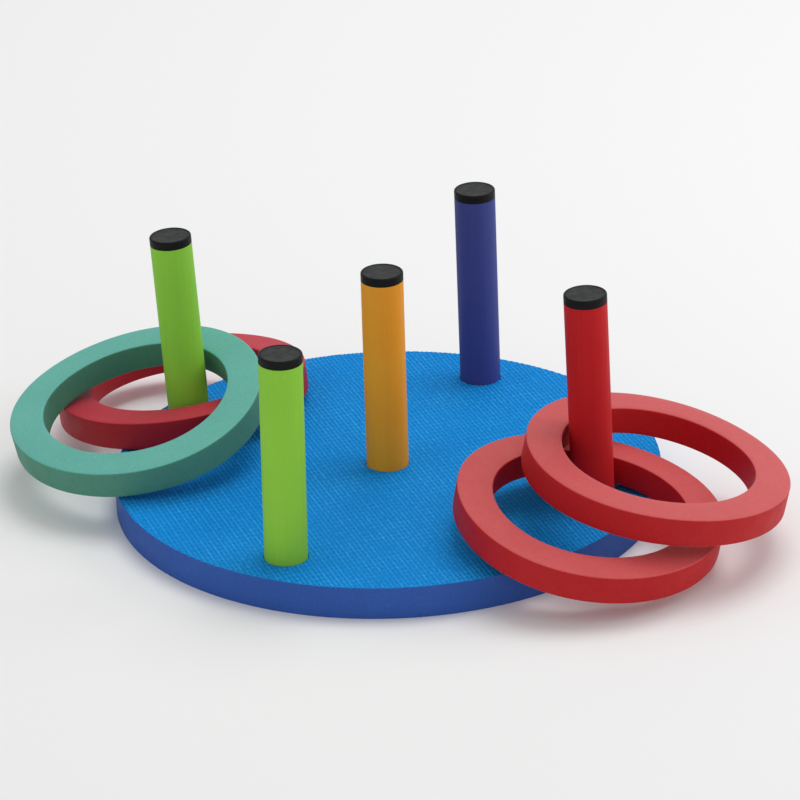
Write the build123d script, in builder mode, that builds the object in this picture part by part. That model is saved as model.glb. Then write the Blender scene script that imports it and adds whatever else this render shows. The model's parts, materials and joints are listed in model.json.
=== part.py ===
"""Ring toss set: a round foam base, five capped posts pushed into it, and four foam rings.

Millimetres, +Z up. The origin is the centre of the base's underside, on the floor.
The player throws from the -Y side. Two rings hang round the left post and two round the right
post: each pair leans outwards over the base's edge, as rings do that were tossed one after
the other.
"""

import os
from math import cos, radians, sin

from build123d import *

# ---- Driving dimensions ------------------------------------------------------------------

base_diameter = 500.0      # one disc cut from a 30 mm closed-cell foam sheet
base_thickness = 30.0
base_edge_radius = 1.2     # the cut edge is only just broken

ring_outer_diameter = 238.0
ring_inner_diameter = 174.0
ring_thickness = 26.0
ring_edge_radius = 1.5

tube_diameter = 38.5
tube_wall = 2.0
tube_edge_radius = 0.4      # the sawn ends are lightly rounded outside
post_length = 220.0        # over both end caps
hole_clearance = 0.08      # radial, between a post and its hole in the foam

cap_height = 8.0           # the part of an end cap that shows, as wide as the tube
cap_edge_chamfer = 0.9
spigot_length = 16.0       # the part of an end cap inside the tube
spigot_wall = 1.6
spigot_clearance = 1.4     # radial, between the spigot's wall and the bore
fin_clearance = 0.04       # radial, between a fin's rim and the bore
fin_thickness = 1.0
fin_count = 3

post_circle_radius = 204.7
first_post_azimuth = 63.5  # degrees from +X; the outer posts stand a quarter turn apart

tube_radius = tube_diameter / 2
bore_radius = tube_radius - tube_wall
tube_length = post_length - 2 * cap_height

# Posts: name, place on the circle (None is the centre), height of the top above the base, and
# lean towards +X in degrees. The friction of the foam holds each post where it was pushed to.
posts = [
    ("orange_post", None, 190.0, 0.0),
    ("blue_post", 0, 193.6, -0.6),
    ("left_green_post", 1, 194.3, -2.9),
    ("front_green_post", 2, 194.4, 0.7),
    ("red_post", 3, 202.0, -1.7),
]

# Rings: name, centre, tilt in degrees, and the azimuth that the raised face leans towards.
rings = [
    ("left_red_ring", (-192.3, 149.1, 42.6), 7.1, 142.0),
    ("teal_ring", (-228.5, 51.1, 68.0), 13.3, -138.7),
    ("lower_red_ring", (174.8, -156.0, 47.6), 11.4, -29.4),
    ("upper_red_ring", (237.2, -117.7, 71.8), 11.4, -8.8),
]


# ---- Places ------------------------------------------------------------------------------

def post_foot(place):
    """Where a post's axis crosses the base's top face."""
    if place is None:
        return Vector(0, 0, base_thickness)
    azimuth = radians(first_post_azimuth + 90 * place)
    return Vector(post_circle_radius * cos(azimuth), post_circle_radius * sin(azimuth), base_thickness)


def post_axis(lean):
    """The unit vector up a post that leans towards +X by this many degrees."""
    return Vector(sin(radians(lean)), 0, cos(radians(lean)))


def post_plane(place, lean, height):
    """The plane across a post, at a height along its axis from the base's top face."""
    axis = post_axis(lean)
    return Plane(origin=post_foot(place) + axis * height, x_dir=(0, 1, 0), z_dir=axis)


def ring_plane(centre, tilt, azimuth):
    """The middle plane of a ring."""
    slope = sin(radians(tilt))
    normal = (slope * cos(radians(azimuth)), slope * sin(radians(azimuth)), cos(radians(tilt)))
    return Plane(origin=centre, z_dir=normal)


def finish(part, name):
    """Name a finished piece and write it."""
    part.part.label = name
    export_step(part.part, f"parts/{name}.step")


# ---- Base --------------------------------------------------------------------------------

def make_base():
    """The foam disc, with a through hole for each post that leans as the post does."""
    with BuildPart() as base_mat:
        with BuildSketch(Plane.XY):
            Circle(base_diameter / 2)
        extrude(amount=base_thickness)
        fillet(base_mat.edges().filter_by(GeomType.CIRCLE), radius=base_edge_radius)
        for _, place, _, lean in posts:
            with BuildSketch(post_plane(place, lean, 0)):
                Circle(tube_radius + hole_clearance)
            extrude(amount=2 * base_thickness, both=True, mode=Mode.SUBTRACT)
    finish(base_mat, "base_mat")


# ---- Posts -------------------------------------------------------------------------------

def make_tube(name, place, top, lean):
    """A plain tube, cut square at both ends, with the outer edges rounded."""
    with BuildPart() as tube:
        with BuildSketch(post_plane(place, lean, top - cap_height - tube_length)):
            Circle(tube_radius)
            Circle(bore_radius, mode=Mode.SUBTRACT)
        extrude(amount=tube_length)
        outer_edges = tube.edges().filter_by(GeomType.CIRCLE).sort_by(SortBy.RADIUS)[-2:]
        fillet(outer_edges, radius=tube_edge_radius)
    finish(tube, f"{name}_tube")


def make_end_cap(name, plane):
    """An end cap whose flange starts at the plane, with a hollow finned spigot behind it."""
    spigot_radius = bore_radius - spigot_clearance
    fin_pitch = spigot_length / (fin_count + 1)
    with BuildPart() as cap:
        with BuildSketch(plane):
            Circle(tube_radius)
        extrude(amount=cap_height)
        outer_face = cap.faces().sort_by(Axis(plane.origin, plane.z_dir))[-1]
        chamfer(outer_face.edges(), length=cap_edge_chamfer)
        with BuildSketch(plane):
            Circle(spigot_radius)
            Circle(spigot_radius - spigot_wall, mode=Mode.SUBTRACT)
        extrude(amount=-spigot_length)
        for fin in range(1, fin_count + 1):
            with BuildSketch(plane.offset(-fin * fin_pitch)):
                Circle(bore_radius - fin_clearance)
                Circle(spigot_radius - spigot_wall / 2, mode=Mode.SUBTRACT)
            extrude(amount=-fin_thickness)
    finish(cap, name)


def make_post(name, place, top, lean):
    """A tube with the same end cap at its top and, upside down, at its foot."""
    make_tube(name, place, top, lean)
    make_end_cap(f"{name}_top_cap", post_plane(place, lean, top - cap_height))
    foot_plane = post_plane(place, lean, top - cap_height - tube_length)
    make_end_cap(f"{name}_foot_cap", -foot_plane)


# ---- Rings -------------------------------------------------------------------------------

def make_ring(name, centre, tilt, azimuth):
    """A flat foam ring of rectangular section with its edges just broken."""
    with BuildPart() as ring:
        with BuildSketch(ring_plane(centre, tilt, azimuth)):
            Circle(ring_outer_diameter / 2)
            Circle(ring_inner_diameter / 2, mode=Mode.SUBTRACT)
        extrude(amount=ring_thickness / 2, both=True)
        fillet(ring.edges().filter_by(GeomType.CIRCLE), radius=ring_edge_radius)
    finish(ring, name)


os.makedirs("parts", exist_ok=True)
make_base()
for post in posts:
    make_post(*post)
for ring in rings:
    make_ring(*ring)
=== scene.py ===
"""The looks of the ring toss set: an embossed foam base, capped plastic posts and foam rings.

Metres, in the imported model's frame: +Z up, the origin under the middle of the base, and the
player's side towards -Y.
"""
import json
from math import cos, pi, radians, sin, tau

import bpy
import numpy as np
from mathutils import Matrix, Vector


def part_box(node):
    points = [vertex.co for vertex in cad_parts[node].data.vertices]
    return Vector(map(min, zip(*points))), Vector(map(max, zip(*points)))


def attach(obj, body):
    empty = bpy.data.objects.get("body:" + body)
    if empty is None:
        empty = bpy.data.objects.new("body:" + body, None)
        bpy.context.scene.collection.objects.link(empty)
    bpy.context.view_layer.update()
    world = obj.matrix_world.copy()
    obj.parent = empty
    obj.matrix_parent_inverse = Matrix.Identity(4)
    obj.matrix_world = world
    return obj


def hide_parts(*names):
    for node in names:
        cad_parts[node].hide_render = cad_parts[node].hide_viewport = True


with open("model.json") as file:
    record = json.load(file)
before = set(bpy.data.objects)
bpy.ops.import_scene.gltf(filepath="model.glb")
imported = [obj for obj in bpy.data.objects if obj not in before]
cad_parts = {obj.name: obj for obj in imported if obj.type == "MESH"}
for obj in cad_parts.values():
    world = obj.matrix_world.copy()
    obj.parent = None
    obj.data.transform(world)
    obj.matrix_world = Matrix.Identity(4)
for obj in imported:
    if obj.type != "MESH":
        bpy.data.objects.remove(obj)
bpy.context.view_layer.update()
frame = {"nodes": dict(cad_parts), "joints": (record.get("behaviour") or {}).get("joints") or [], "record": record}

MM = 0.001

# ---- What the frame says -----------------------------------------------------------------

POSTS = ["orange_post", "blue_post", "left_green_post", "front_green_post", "red_post"]

joint_axis = {joint["child"]: Vector(joint["axis"]) for joint in frame["joints"]}
node_slot = {entry["node"]: entry["material_slot"] for entry in frame["record"]["subparts"]}
base_low, base_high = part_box("base_mat")
base_radius = (base_high.x - base_low.x) / 2
base_top = base_high.z
tube_low, tube_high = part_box("orange_post_tube")
tube_radius = (tube_high.x - tube_low.x) / 2

# ---- The base's detail -------------------------------------------------------------------

# The embossed lines. Each has a height above the pockets' floor, and half its width at the top
# and at the foot.
RIDGE_AZIMUTH = radians(18.95)     # the direction across the strong and faint lines
RIDGE_PITCH = 7.94 * MM            # from one strong line to the next; a faint one lies between
RIDGE_HEIGHT = 0.50 * MM
RIDGE_TOP = 0.42 * MM
RIDGE_FOOT = 1.05 * MM
FAINT_HEIGHT = 0.41 * MM
FAINT_TOP = 0.30 * MM
FAINT_FOOT = 0.85 * MM
CROSS_PITCH = 7.5 * MM             # between the bars that cross the lines
CROSS_HEIGHT = 0.32 * MM
CROSS_TOP = 0.35 * MM
CROSS_FOOT = 0.95 * MM

BASE_EDGE = 0.35 * MM              # how far the die-cut rim is rounded
BASE_SEGMENTS = 360
HOLE_GAP = 0.08 * MM               # between a post and the foam
HOLE_FLARE = 0.5 * MM              # the rim of a hole is pushed out a little by its post
FLARE_DEPTH = 1.6 * MM             # and widens over this depth
CUT_PAST_TOP = 1.0 * MM            # how far a hole's cutter reaches past the top face
CUT_PAST_BOTTOM = 10 * MM

# ---- The rings' detail -------------------------------------------------------------------

# Each ring's colour, and how it droops, being soft: how far both ends of one diameter hang
# below the middle, and that diameter's azimuth. A ring's place in the list sets its ripple.
RINGS = {
    # The left ring's darker red is a painted shadow: the teal ring shades it.
    "left_red_ring": ("deep_red", 2.9 * MM, radians(39)),
    "teal_ring": ("teal", 5.0 * MM, radians(-60)),
    "lower_red_ring": ("red", 4.0 * MM, radians(-103)),
    "upper_red_ring": ("red", 4.0 * MM, radians(33)),
}
LIFT_SHARE = 0.40                  # share of the droop by which the middle is lifted
RING_WAVE = 0.22 * MM              # how far a cut ring strays from a true circle
RING_EDGE = 1.5 * MM
RING_SEGMENTS = 192
RING_SIDE_STEPS = 5                # across each flat side of its section

# ---- The posts' detail -------------------------------------------------------------------

POST_SEGMENTS = 96
CAP_ROUND = 1.7 * MM               # the moulded rim of an end cap
CAP_ROUND_STEPS = 8
CAP_DISH = 0.5 * MM                # how deep its top is dished, and half the width of that slope
DISH_SHARE = 0.88                  # the dish's radius as a share of the cap's
DISH_STEPS = 4
CAP_LIP = 0.25 * MM                # the broken edge where the cap meets the tube
FIN_COUNT = 3                      # fins round a cap's spigot
FIN_THICKNESS = 1.0 * MM

# ---- What several pieces share -----------------------------------------------------------

EDGE_STEPS = 5                     # round a broken edge
FOAM_CREASE = 50                   # degrees; sharper edges stay sharp when shaded
MOULDED_CREASE = 40
FINE_SHARE = 0.55                  # how much each finer layer of a noise counts

# ---- Light and view ----------------------------------------------------------------------

ROOM = 0.60                        # the even light from all round
LAMP_AIM = Vector((0, 0, 0.05))
OVERHEAD_PLACE = Vector((1.1, 1.6, 5.0))
OVERHEAD_SIZE = 3.4                # across the lamp
OVERHEAD_POWER = 98                # watts
RIGHT_PLACE = Vector((2.6, 0.4, 1.1))
RIGHT_SIZE = 1.4
RIGHT_POWER = 15
FLOOR_REACH = 12.0                 # half the floor's width

CAMERA_PLACE = Vector((0, -3.3060, 1.6149))
CAMERA_DOWN = radians(24.7273)     # below the level
CAMERA_RIGHT = radians(0.2246)     # to the right of +Y
CAMERA_ROLL = radians(1.6980)      # clockwise
CAMERA_SENSOR = 36                 # millimetres, as is the lens
CAMERA_LENS = 180


# ---- Colours -----------------------------------------------------------------------------

def srgb(red, green, blue):
    """Linear colour from the 0 to 255 values of a screen colour."""
    out = []
    for value in (red / 255, green / 255, blue / 255):
        out.append(value / 12.92 if value <= 0.04045 else ((value + 0.055) / 1.055) ** 2.4)
    return (*out, 1.0)


def tone(colour, factor):
    """A colour made darker or lighter by a factor."""
    return (*(min(1.0, value * factor) for value in colour[:3]), 1.0)


# ---- Node helpers ------------------------------------------------------------------------

class Shader:
    """One material's node tree around its Principled shader, painted in object coordinates."""

    def __init__(self, name):
        self.material = bpy.data.materials.new(name)
        self.material.use_nodes = True
        self.tree = self.material.node_tree
        self.surface = self.tree.nodes["Principled BSDF"]
        self.place = self.add("ShaderNodeTexCoord").outputs["Object"]

    def add(self, kind, **settings):
        """A new node with these settings."""
        node = self.tree.nodes.new(kind)
        for key, value in settings.items():
            setattr(node, key, value)
        return node

    def link(self, source, target):
        self.tree.links.new(source, target)

    def set(self, **values):
        """Constants on the shader's own sockets: specular_ior_level=0.4 sets that socket."""
        sockets = {socket.name.lower().replace(" ", "_"): socket for socket in self.surface.inputs}
        for key, value in values.items():
            sockets[key].default_value = value

    def scaled(self, scale):
        """The object coordinates, with a scale of its own for each axis."""
        node = self.add("ShaderNodeMapping")
        node.inputs["Scale"].default_value = scale
        self.link(self.place, node.inputs["Vector"])
        return node.outputs["Vector"]

    def height_of(self, vector):
        """The Z of a vector."""
        node = self.add("ShaderNodeSeparateXYZ")
        self.link(vector, node.inputs[0])
        return node.outputs["Z"]

    def noise(self, scale, detail=3, vector=None):
        node = self.add("ShaderNodeTexNoise")
        node.inputs["Scale"].default_value = scale
        node.inputs["Detail"].default_value = detail
        node.inputs["Roughness"].default_value = FINE_SHARE
        self.link(vector or self.place, node.inputs["Vector"])
        return node.outputs["Fac"]

    def cells(self, scale):
        node = self.add("ShaderNodeTexVoronoi")
        node.inputs["Scale"].default_value = scale
        self.link(self.place, node.inputs["Vector"])
        return node.outputs["Distance"]

    def ramp(self, value, low, high, out_low=0.0, out_high=1.0):
        """A value taken from low and high to out_low and out_high, and held beyond them."""
        node = self.add("ShaderNodeMapRange", clamp=True)
        node.inputs["From Min"].default_value = low
        node.inputs["From Max"].default_value = high
        node.inputs["To Min"].default_value = out_low
        node.inputs["To Max"].default_value = out_high
        self.link(value, node.inputs["Value"])
        return node.outputs["Result"]

    def product(self, first, second):
        node = self.add("ShaderNodeMath", operation="MULTIPLY")
        self.link(first, node.inputs[0])
        self.link(second, node.inputs[1])
        return node.outputs["Value"]

    def mix(self, share, first, second):
        """Two colours mixed, each a colour or a socket; the share, a socket, is the second's."""
        node = self.add("ShaderNodeMix", data_type="RGBA")
        self.link(share, node.inputs[0])
        # The node has sockets for every kind of value: 6 and 7 take the colours, 2 gives the mix.
        for socket, value in zip(node.inputs[6:8], (first, second)):
            if isinstance(value, bpy.types.NodeSocket):
                self.link(value, socket)
            else:
                socket.default_value = value
        return node.outputs[2]

    def colour(self, value):
        self.link(value, self.surface.inputs["Base Color"])

    def roughness(self, value):
        self.link(value, self.surface.inputs["Roughness"])

    def bump(self, height, distance, strength, below=None):
        """Bumps on the surface, over those below; the last ones made are what it shows."""
        node = self.add("ShaderNodeBump")
        node.inputs["Distance"].default_value = distance
        node.inputs["Strength"].default_value = strength
        self.link(height, node.inputs["Height"])
        if below is not None:
            self.link(below, node.inputs["Normal"])
        self.link(node.outputs["Normal"], self.surface.inputs["Normal"])
        return node.outputs["Normal"]


# ---- Materials ---------------------------------------------------------------------------

def foam(name, main, pale, specular, sheen=0.0):
    """Closed-cell foam: a mottled colour with darker pores and paler specks, and fine cells."""
    shader = Shader(name)
    mottle = shader.ramp(shader.noise(14, detail=5), 0.35, 0.65)
    pores = shader.ramp(shader.noise(520), 0.54, 0.70, 0.0, 0.5)
    specks = shader.ramp(shader.noise(430, detail=2), 0.62, 0.76, 0.0, 0.5)
    tinted = shader.mix(pores, shader.mix(mottle, main, pale), tone(main, 0.72))
    shader.colour(shader.mix(specks, tinted, tone(pale, 1.35)))
    shader.roughness(shader.ramp(shader.noise(90), 0.3, 0.7, 0.52, 0.64))
    shader.set(specular_ior_level=specular, sheen_weight=sheen, sheen_roughness=0.4)
    cells = shader.bump(shader.cells(950), 0.16 * MM, 0.6)
    shader.bump(shader.noise(130, detail=4), 0.30 * MM, 0.5, below=cells)
    return shader.material


def skin(name, low, high, deep, line):
    """The embossed top: a mottled colour with deep pits, and a painted highlight on the lines' tops, in patches.
    """
    shader = Shader(name)
    mottle = shader.ramp(shader.noise(9, detail=5), 0.35, 0.65)
    pits = shader.ramp(shader.noise(340), 0.50, 0.66, 0.0, 0.6)
    body = shader.mix(pits, shader.mix(mottle, low, high), deep)
    height = shader.height_of(shader.place)
    # The lines' tops are painted paler, a painted highlight, broken into small and broad patches.
    ridge_highlight = shader.ramp(height, base_top - 0.34 * MM, base_top - 0.04 * MM)
    patchy = shader.ramp(shader.noise(230, detail=4), 0.38, 0.62, 0.25, 1.0)
    highlight_patches = shader.ramp(shader.noise(24), 0.36, 0.62, 0.5, 1.0)
    pale = shader.product(ridge_highlight, shader.product(patchy, highlight_patches))
    shader.colour(shader.mix(pale, body, line))
    shader.roughness(shader.ramp(shader.noise(120), 0.3, 0.7, 0.55, 0.72))
    shader.set(specular_ior_level=0.04)
    cells = shader.bump(shader.cells(1100), 0.06 * MM, 0.4)
    shader.bump(shader.noise(700), 0.12 * MM, 0.5, below=cells)
    return shader.material


def plastic(name, main, shade):
    """Extruded plastic tube: fine lines and scuffs along it, a faint cloudiness, a satin gloss."""
    shader = Shader(name)
    drawn = shader.noise(1, detail=4, vector=shader.scaled((420, 420, 5)))
    along = shader.noise(1, detail=6, vector=shader.scaled((260, 260, 60)))
    cloud = shader.ramp(shader.noise(11), 0.35, 0.65, 0.0, 0.7)
    streaks = shader.ramp(drawn, 0.45, 0.75, 0.0, 0.3)
    scuffs = shader.ramp(along, 0.64, 0.76, 0.0, 0.3)
    streaked = shader.mix(streaks, shader.mix(cloud, main, shade), tone(shade, 0.90))
    shader.colour(shader.mix(scuffs, streaked, tone(main, 1.25)))
    shader.roughness(shader.ramp(drawn, 0.35, 0.65, 0.46, 0.60))
    shader.set(specular_ior_level=0.1)
    lines = shader.bump(drawn, 0.03 * MM, 0.5)
    shader.bump(shader.noise(60, detail=2), 0.12 * MM, 0.35, below=lines)
    return shader.material


def cap_plastic(name, main, dust_and_sheen):
    """Moulded black plastic with a fine leather-like grain, and a paler tone on what faces up: dust, and a painted
    sheen.
    """
    shader = Shader(name)
    facing = shader.add("ShaderNodeNewGeometry").outputs["Normal"]
    upward_dust_and_sheen = shader.ramp(shader.height_of(facing), 0.93, 0.995, 0.0, 0.6)
    patchy = shader.ramp(shader.noise(180, detail=5), 0.3, 0.7, 0.4, 1.0)
    shader.colour(shader.mix(shader.product(upward_dust_and_sheen, patchy), main, dust_and_sheen))
    shader.roughness(shader.ramp(shader.noise(150), 0.3, 0.7, 0.42, 0.58))
    shader.set(specular_ior_level=0.1)
    shader.bump(shader.cells(1500), 0.05 * MM, 0.7)
    return shader.material


# The foam's skin and its cut sides differ in tone; the cut sides' darker tone is also a painted shade.
MATERIALS = {
    # The base's last colour, for the lines' tops, is a painted highlight.
    "base_skin": skin("base_skin", srgb(14, 132, 211), srgb(20, 141, 222), srgb(8, 112, 190),
                      srgb(58, 174, 246)),
    "base_cut": foam("base_cut", srgb(50, 89, 169), srgb(54, 95, 176), 0.15),
    # The red tops' paler green and blue are a painted sheen.
    "red_foam": foam("red_foam", srgb(202, 58, 60), srgb(206, 66, 68), 0.5, sheen=0.45),
    "red_cut": foam("red_cut", srgb(186, 12, 20), srgb(190, 19, 26), 0.3),
    # A darker, less hazy copy of the red foam: a painted shadow on the left ring, under the teal ring.
    "deep_red_foam": foam("deep_red_foam", srgb(195, 42, 60), srgb(199, 50, 67), 0.3, sheen=0.1),
    "deep_red_cut": foam("deep_red_cut", srgb(172, 18, 33), srgb(176, 24, 38), 0.3),
    "teal_foam": foam("teal_foam", srgb(97, 178, 165), srgb(102, 184, 170), 0.3, sheen=0.1),
    "teal_cut": foam("teal_cut", srgb(80, 141, 120), srgb(84, 146, 125), 0.2),
    "orange_tube": plastic("orange_tube", srgb(246, 168, 50), srgb(242, 156, 46)),
    "blue_tube": plastic("blue_tube", srgb(68, 77, 144), srgb(64, 72, 136)),
    "green_tube": plastic("green_tube", srgb(148, 212, 70), srgb(142, 206, 66)),
    "red_tube": plastic("red_tube", srgb(197, 34, 38), srgb(189, 30, 34)),
    # The caps' paler colour on what faces up is dust and a painted sheen.
    "black_cap": cap_plastic("black_cap", srgb(24, 25, 25), srgb(78, 81, 81)),
}


# ---- Mesh helpers ------------------------------------------------------------------------

def mesh_object(name, points, faces):
    """A linked mesh object from points and faces."""
    mesh = bpy.data.meshes.new(name)
    mesh.from_pydata([tuple(point) for point in points], [], [tuple(face) for face in faces])
    mesh.validate()
    mesh.update()
    thing = bpy.data.objects.new(name, mesh)
    bpy.context.scene.collection.objects.link(thing)
    return thing


def turned(name, outline, segments):
    """An outline of (radius, height) points turned about Z.

    It starts and ends on the axis, or stays clear of it and is closed back to its first point.
    """
    points = []
    rows = []
    for radius, height in outline:
        if radius == 0:
            rows.append([len(points)] * segments)
            points.append((0, 0, height))
            continue
        rows.append(list(range(len(points), len(points) + segments)))
        for step in range(segments):
            angle = tau * step / segments
            points.append((radius * cos(angle), radius * sin(angle), height))
    clear_of_axis = outline[0][0] != 0
    following_rows = rows[1:] + rows[:1] if clear_of_axis else rows[1:]
    faces = []
    for row, following in zip(rows, following_rows):
        for step in range(segments):
            after = (step + 1) % segments
            corners = [row[step], row[after], following[after], following[step]]
            faces.append(list(dict.fromkeys(corners)))
    return mesh_object(name, points, faces)


def arc(centre, radius, start, end, steps):
    """Points on an arc, angles in degrees."""
    found = []
    for step in range(steps + 1):
        angle = radians(start + (end - start) * step / steps)
        found.append((centre[0] + radius * cos(angle), centre[1] + radius * sin(angle)))
    return found


def between(first, last, steps):
    """Points strictly between two points."""
    found = []
    for step in range(1, steps):
        share = step / steps
        found.append(tuple(a + (b - a) * share for a, b in zip(first, last)))
    return found


def stood_on(origin, axis):
    """The matrix that takes a thing turned about Z to this place and axis."""
    turn = Vector(axis).normalized().to_track_quat("Z", "Y").to_matrix().to_4x4()
    return Matrix.Translation(origin) @ turn


def boolean(target, cutter, operation):
    """Apply one boolean to the target and remove the cutter."""
    step = target.modifiers.new("cut", "BOOLEAN")
    step.object = cutter
    step.operation = operation
    step.solver = "MANIFOLD"
    depsgraph = bpy.context.evaluated_depsgraph_get()
    cut = bpy.data.meshes.new_from_object(target.evaluated_get(depsgraph), depsgraph=depsgraph)
    target.modifiers.clear()
    target.data = cut
    bpy.data.objects.remove(cutter)


def smooth(thing, degrees):
    """Smooth shading, with edges sharper than this left sharp."""
    thing.data.shade_smooth()
    thing.data.set_sharp_from_angle(angle=radians(degrees))


def post_point(post, height):
    """Where a post's axis is at this height."""
    low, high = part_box(f"{post}_tube")
    centre = (low + high) / 2
    axis = joint_axis[post]
    return centre + axis * ((height - centre.z) / axis.z)


# ---- Base --------------------------------------------------------------------------------

def grid_lines(pitch, offsets, reach):
    """Every place at one of the offsets within a pitch, out to the reach on both sides."""
    count = int(reach / pitch) + 1
    lines = [index * pitch + offset for index in range(-count, count + 1) for offset in offsets]
    return np.array(sorted(lines))


def embossed_slab():
    """A closed slab wider than the base, whose top carries the embossed lines."""
    middle = RIDGE_PITCH / 2
    line_offsets = [-RIDGE_TOP, RIDGE_TOP, RIDGE_FOOT, middle - FAINT_FOOT, middle - FAINT_TOP,
                    middle + FAINT_TOP, middle + FAINT_FOOT, RIDGE_PITCH - RIDGE_FOOT]
    line_heights = [RIDGE_HEIGHT, RIDGE_HEIGHT, 0, 0, FAINT_HEIGHT, FAINT_HEIGHT, 0, 0]
    bar_offsets = [-CROSS_TOP, CROSS_TOP, CROSS_FOOT, CROSS_PITCH - CROSS_FOOT]
    bar_heights = [CROSS_HEIGHT, CROSS_HEIGHT, 0, 0]
    reach = base_radius + 2 * RIDGE_PITCH
    across = grid_lines(RIDGE_PITCH, line_offsets, reach)
    along = grid_lines(CROSS_PITCH, bar_offsets, reach)
    across_height = np.resize(line_heights, len(across))
    along_height = np.resize(bar_heights, len(along))
    height = np.maximum(across_height[:, None], along_height[None, :])
    across_way = np.array([cos(RIDGE_AZIMUTH), sin(RIDGE_AZIMUTH)])
    along_way = np.array([-sin(RIDGE_AZIMUTH), cos(RIDGE_AZIMUTH)])
    flat = across[:, None, None] * across_way + along[None, :, None] * along_way
    floor = base_top - RIDGE_HEIGHT
    top = np.dstack([flat, floor + height]).reshape(-1, 3)
    index = np.arange(height.size).reshape(height.shape)
    corners = [index[:-1, :-1], index[1:, :-1], index[1:, 1:], index[:-1, 1:]]
    quads = np.stack(corners, -1).reshape(-1, 4)
    centres = top[quads].mean(axis=1)
    kept = quads[np.hypot(centres[:, 0], centres[:, 1]) < reach]
    return closed_below(top, kept, base_low.z - CUT_PAST_BOTTOM / 2)


def closed_below(top, quads, bottom):
    """A solid from a patch of top quads, closed by walls and a flat underside."""
    used = np.unique(quads)
    renumber = -np.ones(len(top), int)
    renumber[used] = np.arange(len(used))
    upper = top[used]
    lower = upper.copy()
    lower[:, 2] = bottom
    faces = renumber[quads]
    count = len(used)
    under = faces[:, ::-1] + count
    edges = {}
    for face in faces.tolist():
        for first, second in zip(face, face[1:] + face[:1]):
            edges[(first, second)] = True
    rim = [(first, second) for first, second in edges if (second, first) not in edges]
    walls = [(second, first, first + count, second + count) for first, second in rim]
    points = np.vstack([upper, lower])
    return mesh_object("foam_base", points, faces.tolist() + under.tolist() + walls)


def disc_blank():
    """The die's shape: the round base with its cut edges just broken, open to the embossing."""
    edge = BASE_EDGE
    bottom = base_low.z
    outline = [(0, bottom), (base_radius - edge, bottom)]
    outline += arc((base_radius - edge, bottom + edge), edge, -90, 0, EDGE_STEPS)[1:]
    outline += arc((base_radius - edge, base_top - edge), edge, 0, 80, EDGE_STEPS)
    outline += [(base_radius - 3 * edge, base_top + edge), (0, base_top + 2 * edge)]
    return turned("disc_blank", outline, BASE_SEGMENTS)


def hole_blank(post):
    """A post's hole, a little wider at the top face."""
    radius = tube_radius + HOLE_GAP
    bottom = base_low.z - CUT_PAST_BOTTOM
    top = base_top + CUT_PAST_TOP
    outline = [
        (0, bottom),
        (radius, bottom),
        (radius, base_top - FLARE_DEPTH),
        (radius + HOLE_FLARE / 4, base_top - FLARE_DEPTH / 2),
        (radius + HOLE_FLARE, base_top),
        (radius + 2 * HOLE_FLARE, top),
        (0, top),
    ]
    blank = turned("hole_blank", outline, POST_SEGMENTS)
    blank.data.transform(stood_on(post_point(post, 0), joint_axis[post]))
    return blank


def make_base():
    """The foam disc: embossed on top, smooth on its cut edge and below."""
    base = embossed_slab()
    boolean(base, disc_blank(), "INTERSECT")
    for post in POSTS:
        boolean(base, hole_blank(post), "DIFFERENCE")
    base.data.materials.clear()
    base.data.materials.append(MATERIALS["base_skin"])
    base.data.materials.append(MATERIALS["base_cut"])
    for face in base.data.polygons:
        on_top = face.center.z > base_top - 1.5 * RIDGE_HEIGHT and face.normal.z > 0.4
        inside = Vector(face.center[:2]).length < base_radius - BASE_EDGE
        face.material_index = 0 if on_top and inside else 1
    smooth(base, FOAM_CREASE)
    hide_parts("base_mat")
    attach(base, "base")


# ---- Rings -------------------------------------------------------------------------------

def ring_shape(node):
    """Centre, normal, outer and inner radius and thickness of a CAD ring, from its mesh."""
    low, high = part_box(node)
    centre = np.array((low + high) / 2)
    mesh = frame["nodes"][node].data
    spread = np.zeros((3, 3))
    for face in mesh.polygons:
        spread += face.area * np.outer(face.normal, face.normal)
    normal = np.linalg.eigh(spread)[1][:, -1]
    normal = normal * np.sign(normal[2])
    away = np.array([vertex.co for vertex in mesh.vertices]) - centre
    along = away @ normal
    radii = np.linalg.norm(away - np.outer(along, normal), axis=1)
    return Vector(centre), Vector(normal), radii.max(), radii.min(), along.max() - along.min()


def ring_outline(inner, outer, thickness):
    """The ring's section: a rectangle with its corners just rounded."""
    edge = RING_EDGE
    half = thickness / 2
    corners = [
        ((outer - edge, -half + edge), -90),
        ((outer - edge, half - edge), 0),
        ((inner + edge, half - edge), 90),
        ((inner + edge, -half + edge), 180),
    ]
    arcs = [arc(centre, edge, start, start + 90, EDGE_STEPS) for centre, start in corners]
    outline = []
    for corner, following in zip(arcs, arcs[1:] + arcs[:1]):
        outline += corner
        outline += between(corner[-1], following[0], RING_SIDE_STEPS)
    return outline


def ripple(ring, number, outer, thickness):
    """Take a ring a hair off round and off flat, as cut foam is, each ring in its own way."""
    for vertex in ring.data.vertices:
        x, y, z = vertex.co
        angle = np.arctan2(y, x)
        swell = 0.6 * sin(2 * angle + 1.7 * number) + 0.4 * sin(5 * angle + 2.9 * number)
        lift = 0.6 * sin(3 * angle + 0.8 * number) + 0.4 * sin(7 * angle + 1.1 * number)
        stretch = 1 + RING_WAVE * swell / outer
        vertex.co = (x * stretch, y * stretch, z * (1 + RING_WAVE * lift / thickness))


def droop(ring, centre, normal, outer, sag, azimuth):
    """Let both ends of one diameter of a ring hang, and lift its middle so that the mean stays."""
    level = Vector((cos(azimuth), sin(azimuth), 0))
    across = (level - normal * level.dot(normal)).normalized()
    for vertex in ring.data.vertices:
        share = (vertex.co - centre).dot(across) / outer
        vertex.co -= normal * sag * (share ** 2 - LIFT_SHARE)


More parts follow.
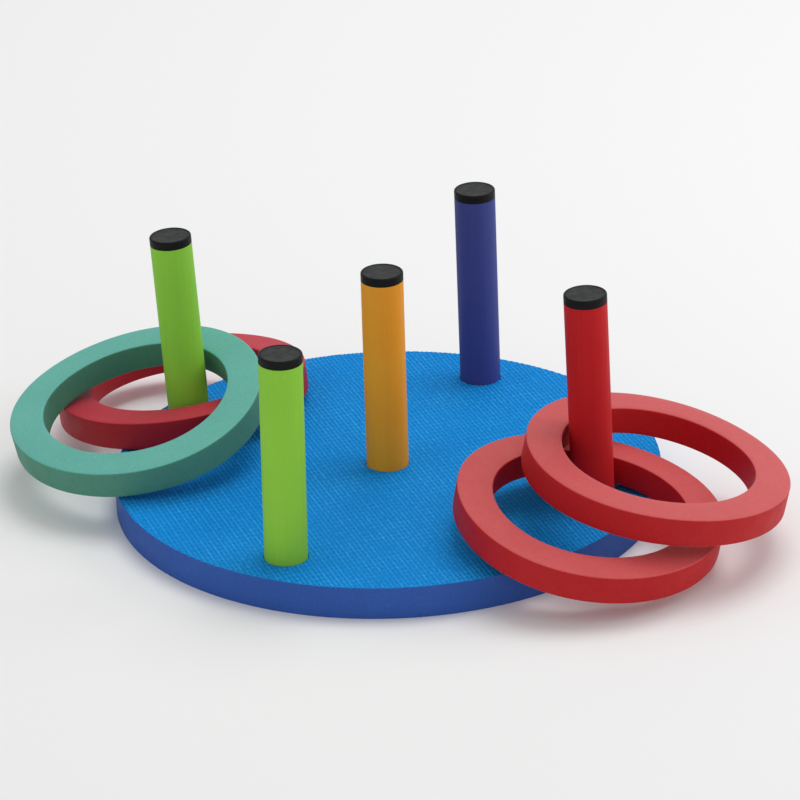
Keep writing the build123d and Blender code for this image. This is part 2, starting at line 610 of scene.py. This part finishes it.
def make_ring(node, number, colour, sag, azimuth):
    """One die-cut foam ring, drooping as it lies."""
    centre, normal, outer, inner, thickness = ring_shape(node)
    ring = turned(f"foam_{node}", ring_outline(inner, outer, thickness), RING_SEGMENTS)
    ripple(ring, number, outer, thickness)
    is_cut = [abs(face.normal.z) < 0.5 for face in ring.data.polygons]
    ring.data.transform(stood_on(centre, normal))
    droop(ring, centre, normal, outer, sag, azimuth)
    ring.data.materials.append(MATERIALS[f"{colour}_foam"])
    ring.data.materials.append(MATERIALS[f"{colour}_cut"])
    ring.data.polygons.foreach_set("material_index", is_cut)
    smooth(ring, FOAM_CREASE)
    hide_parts(node)
    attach(ring, node)


# ---- Posts -------------------------------------------------------------------------------

def finish_tube(node):
    """A post keeps its CAD tube, with its own plastic."""
    mesh = frame["nodes"][node].data
    mesh.materials.clear()
    mesh.materials.append(MATERIALS[node_slot[node]])


def cap_sizes(node, origin, out):
    """Along the axis out of the post: the cap's end, its seam with the tube and its spigot's end.

    Then the radii of the spigot, outside and inside, and of its fins.
    """
    away = np.array([vertex.co - origin for vertex in frame["nodes"][node].data.vertices])
    along = away @ np.array(out)
    radii = np.linalg.norm(away - np.outer(along, out), axis=1)
    near = 0.01 * MM
    end = along.max()
    tip = along.min()
    seam = along[radii > tube_radius - near].min()
    at_tip = radii[along < tip + near]
    behind_seam = radii[along < seam - near]
    return end, seam, tip, at_tip.max(), at_tip.min(), behind_seam.max()


def cap_outline(height, depth, spigot, spigot_bore, fin):
    """An end cap's section: a dished top in a rounded rim, and a hollow spigot with fins."""
    outline = [(0, 0), (spigot_bore, 0), (spigot_bore, -depth), (spigot, -depth)]
    for index in range(FIN_COUNT, 0, -1):
        upper = -index * depth / (FIN_COUNT + 1)
        lower = upper - FIN_THICKNESS
        outline += [(spigot, lower), (fin, lower), (fin, upper), (spigot, upper)]
    outline += [(spigot, 0), (tube_radius - CAP_LIP, 0), (tube_radius, CAP_LIP)]
    rim = (tube_radius - CAP_ROUND, height - CAP_ROUND)
    outline += arc(rim, CAP_ROUND, 0, 90, CAP_ROUND_STEPS)
    dish = DISH_SHARE * tube_radius
    for step in range(DISH_STEPS + 1):
        share = step / DISH_STEPS
        slope = (1 - cos(pi * share)) / 2
        outline.append((dish + CAP_DISH * (1 - 2 * share), height - CAP_DISH * slope))
    return outline + [(dish / 2, height - CAP_DISH), (0, height - CAP_DISH)]


def make_cap(post, node, out):
    """A moulded end cap, on the end of its post that this axis points out of."""
    origin = post_point(post, 0)
    end, seam, tip, spigot, spigot_bore, fin = cap_sizes(node, origin, out)
    outline = cap_outline(end - seam, seam - tip, spigot, spigot_bore, fin)
    cap = turned(f"moulded_{node}", outline, POST_SEGMENTS)
    cap.data.transform(stood_on(origin + out * seam, out))
    cap.data.materials.append(MATERIALS[node_slot[node]])
    smooth(cap, MOULDED_CREASE)
    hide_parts(node)
    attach(cap, post)


# ---- Floor, light and camera -------------------------------------------------------------

def make_floor():
    """A pale, matte floor."""
    reach = FLOOR_REACH
    corners = [(-reach, -reach, 0), (reach, -reach, 0), (reach, reach, 0), (-reach, reach, 0)]
    floor = mesh_object("floor", corners, [(0, 1, 2, 3)])
    shader = Shader("floor")
    shader.set(base_color=(0.92, 0.92, 0.92, 1), roughness=0.9, specular_ior_level=0.1)
    floor.data.materials.append(shader.material)


def make_lamp(name, place, size, power):
    """A broad round lamp, which lights the object but isn't seen itself."""
    lamp = bpy.data.lights.new(name, "AREA")
    lamp.shape = "DISK"
    lamp.size = size
    lamp.energy = power
    thing = bpy.data.objects.new(name, lamp)
    bpy.context.scene.collection.objects.link(thing)
    thing.matrix_world = stood_on(place, place - LAMP_AIM)
    thing.visible_camera = False


def make_light():
    """Even light from all round, with a broad lamp above and behind and a weak one on the right."""
    world = bpy.data.worlds.new("studio")
    world.use_nodes = True
    background = world.node_tree.nodes["Background"]
    background.inputs["Color"].default_value = (1, 1, 1, 1)
    background.inputs["Strength"].default_value = ROOM
    bpy.context.scene.world = world
    make_lamp("overhead", OVERHEAD_PLACE, OVERHEAD_SIZE, OVERHEAD_POWER)
    make_lamp("right", RIGHT_PLACE, RIGHT_SIZE, RIGHT_POWER)
    bpy.context.scene.view_settings.view_transform = "Standard"


def make_camera():
    """A long lens in front of the object and above it."""
    lens = bpy.data.cameras.new("camera")
    lens.sensor_width = CAMERA_SENSOR
    lens.lens = CAMERA_LENS
    lens.clip_start = 0.1
    lens.clip_end = 100
    camera = bpy.data.objects.new("camera", lens)
    bpy.context.scene.collection.objects.link(camera)
    heading = Matrix.Rotation(-CAMERA_RIGHT, 4, "Z")
    pitch = Matrix.Rotation(pi / 2 - CAMERA_DOWN, 4, "X")
    roll = Matrix.Rotation(-CAMERA_ROLL, 4, "Z")
    camera.matrix_world = Matrix.Translation(CAMERA_PLACE) @ heading @ pitch @ roll
    bpy.context.scene.camera = camera


make_base()
for number, (ring, looks) in enumerate(RINGS.items()):
    make_ring(ring, number, *looks)
for post in POSTS:
    finish_tube(f"{post}_tube")
    make_cap(post, f"{post}_top_cap", joint_axis[post])
    make_cap(post, f"{post}_foot_cap", -joint_axis[post])
make_floor()
make_light()
make_camera()
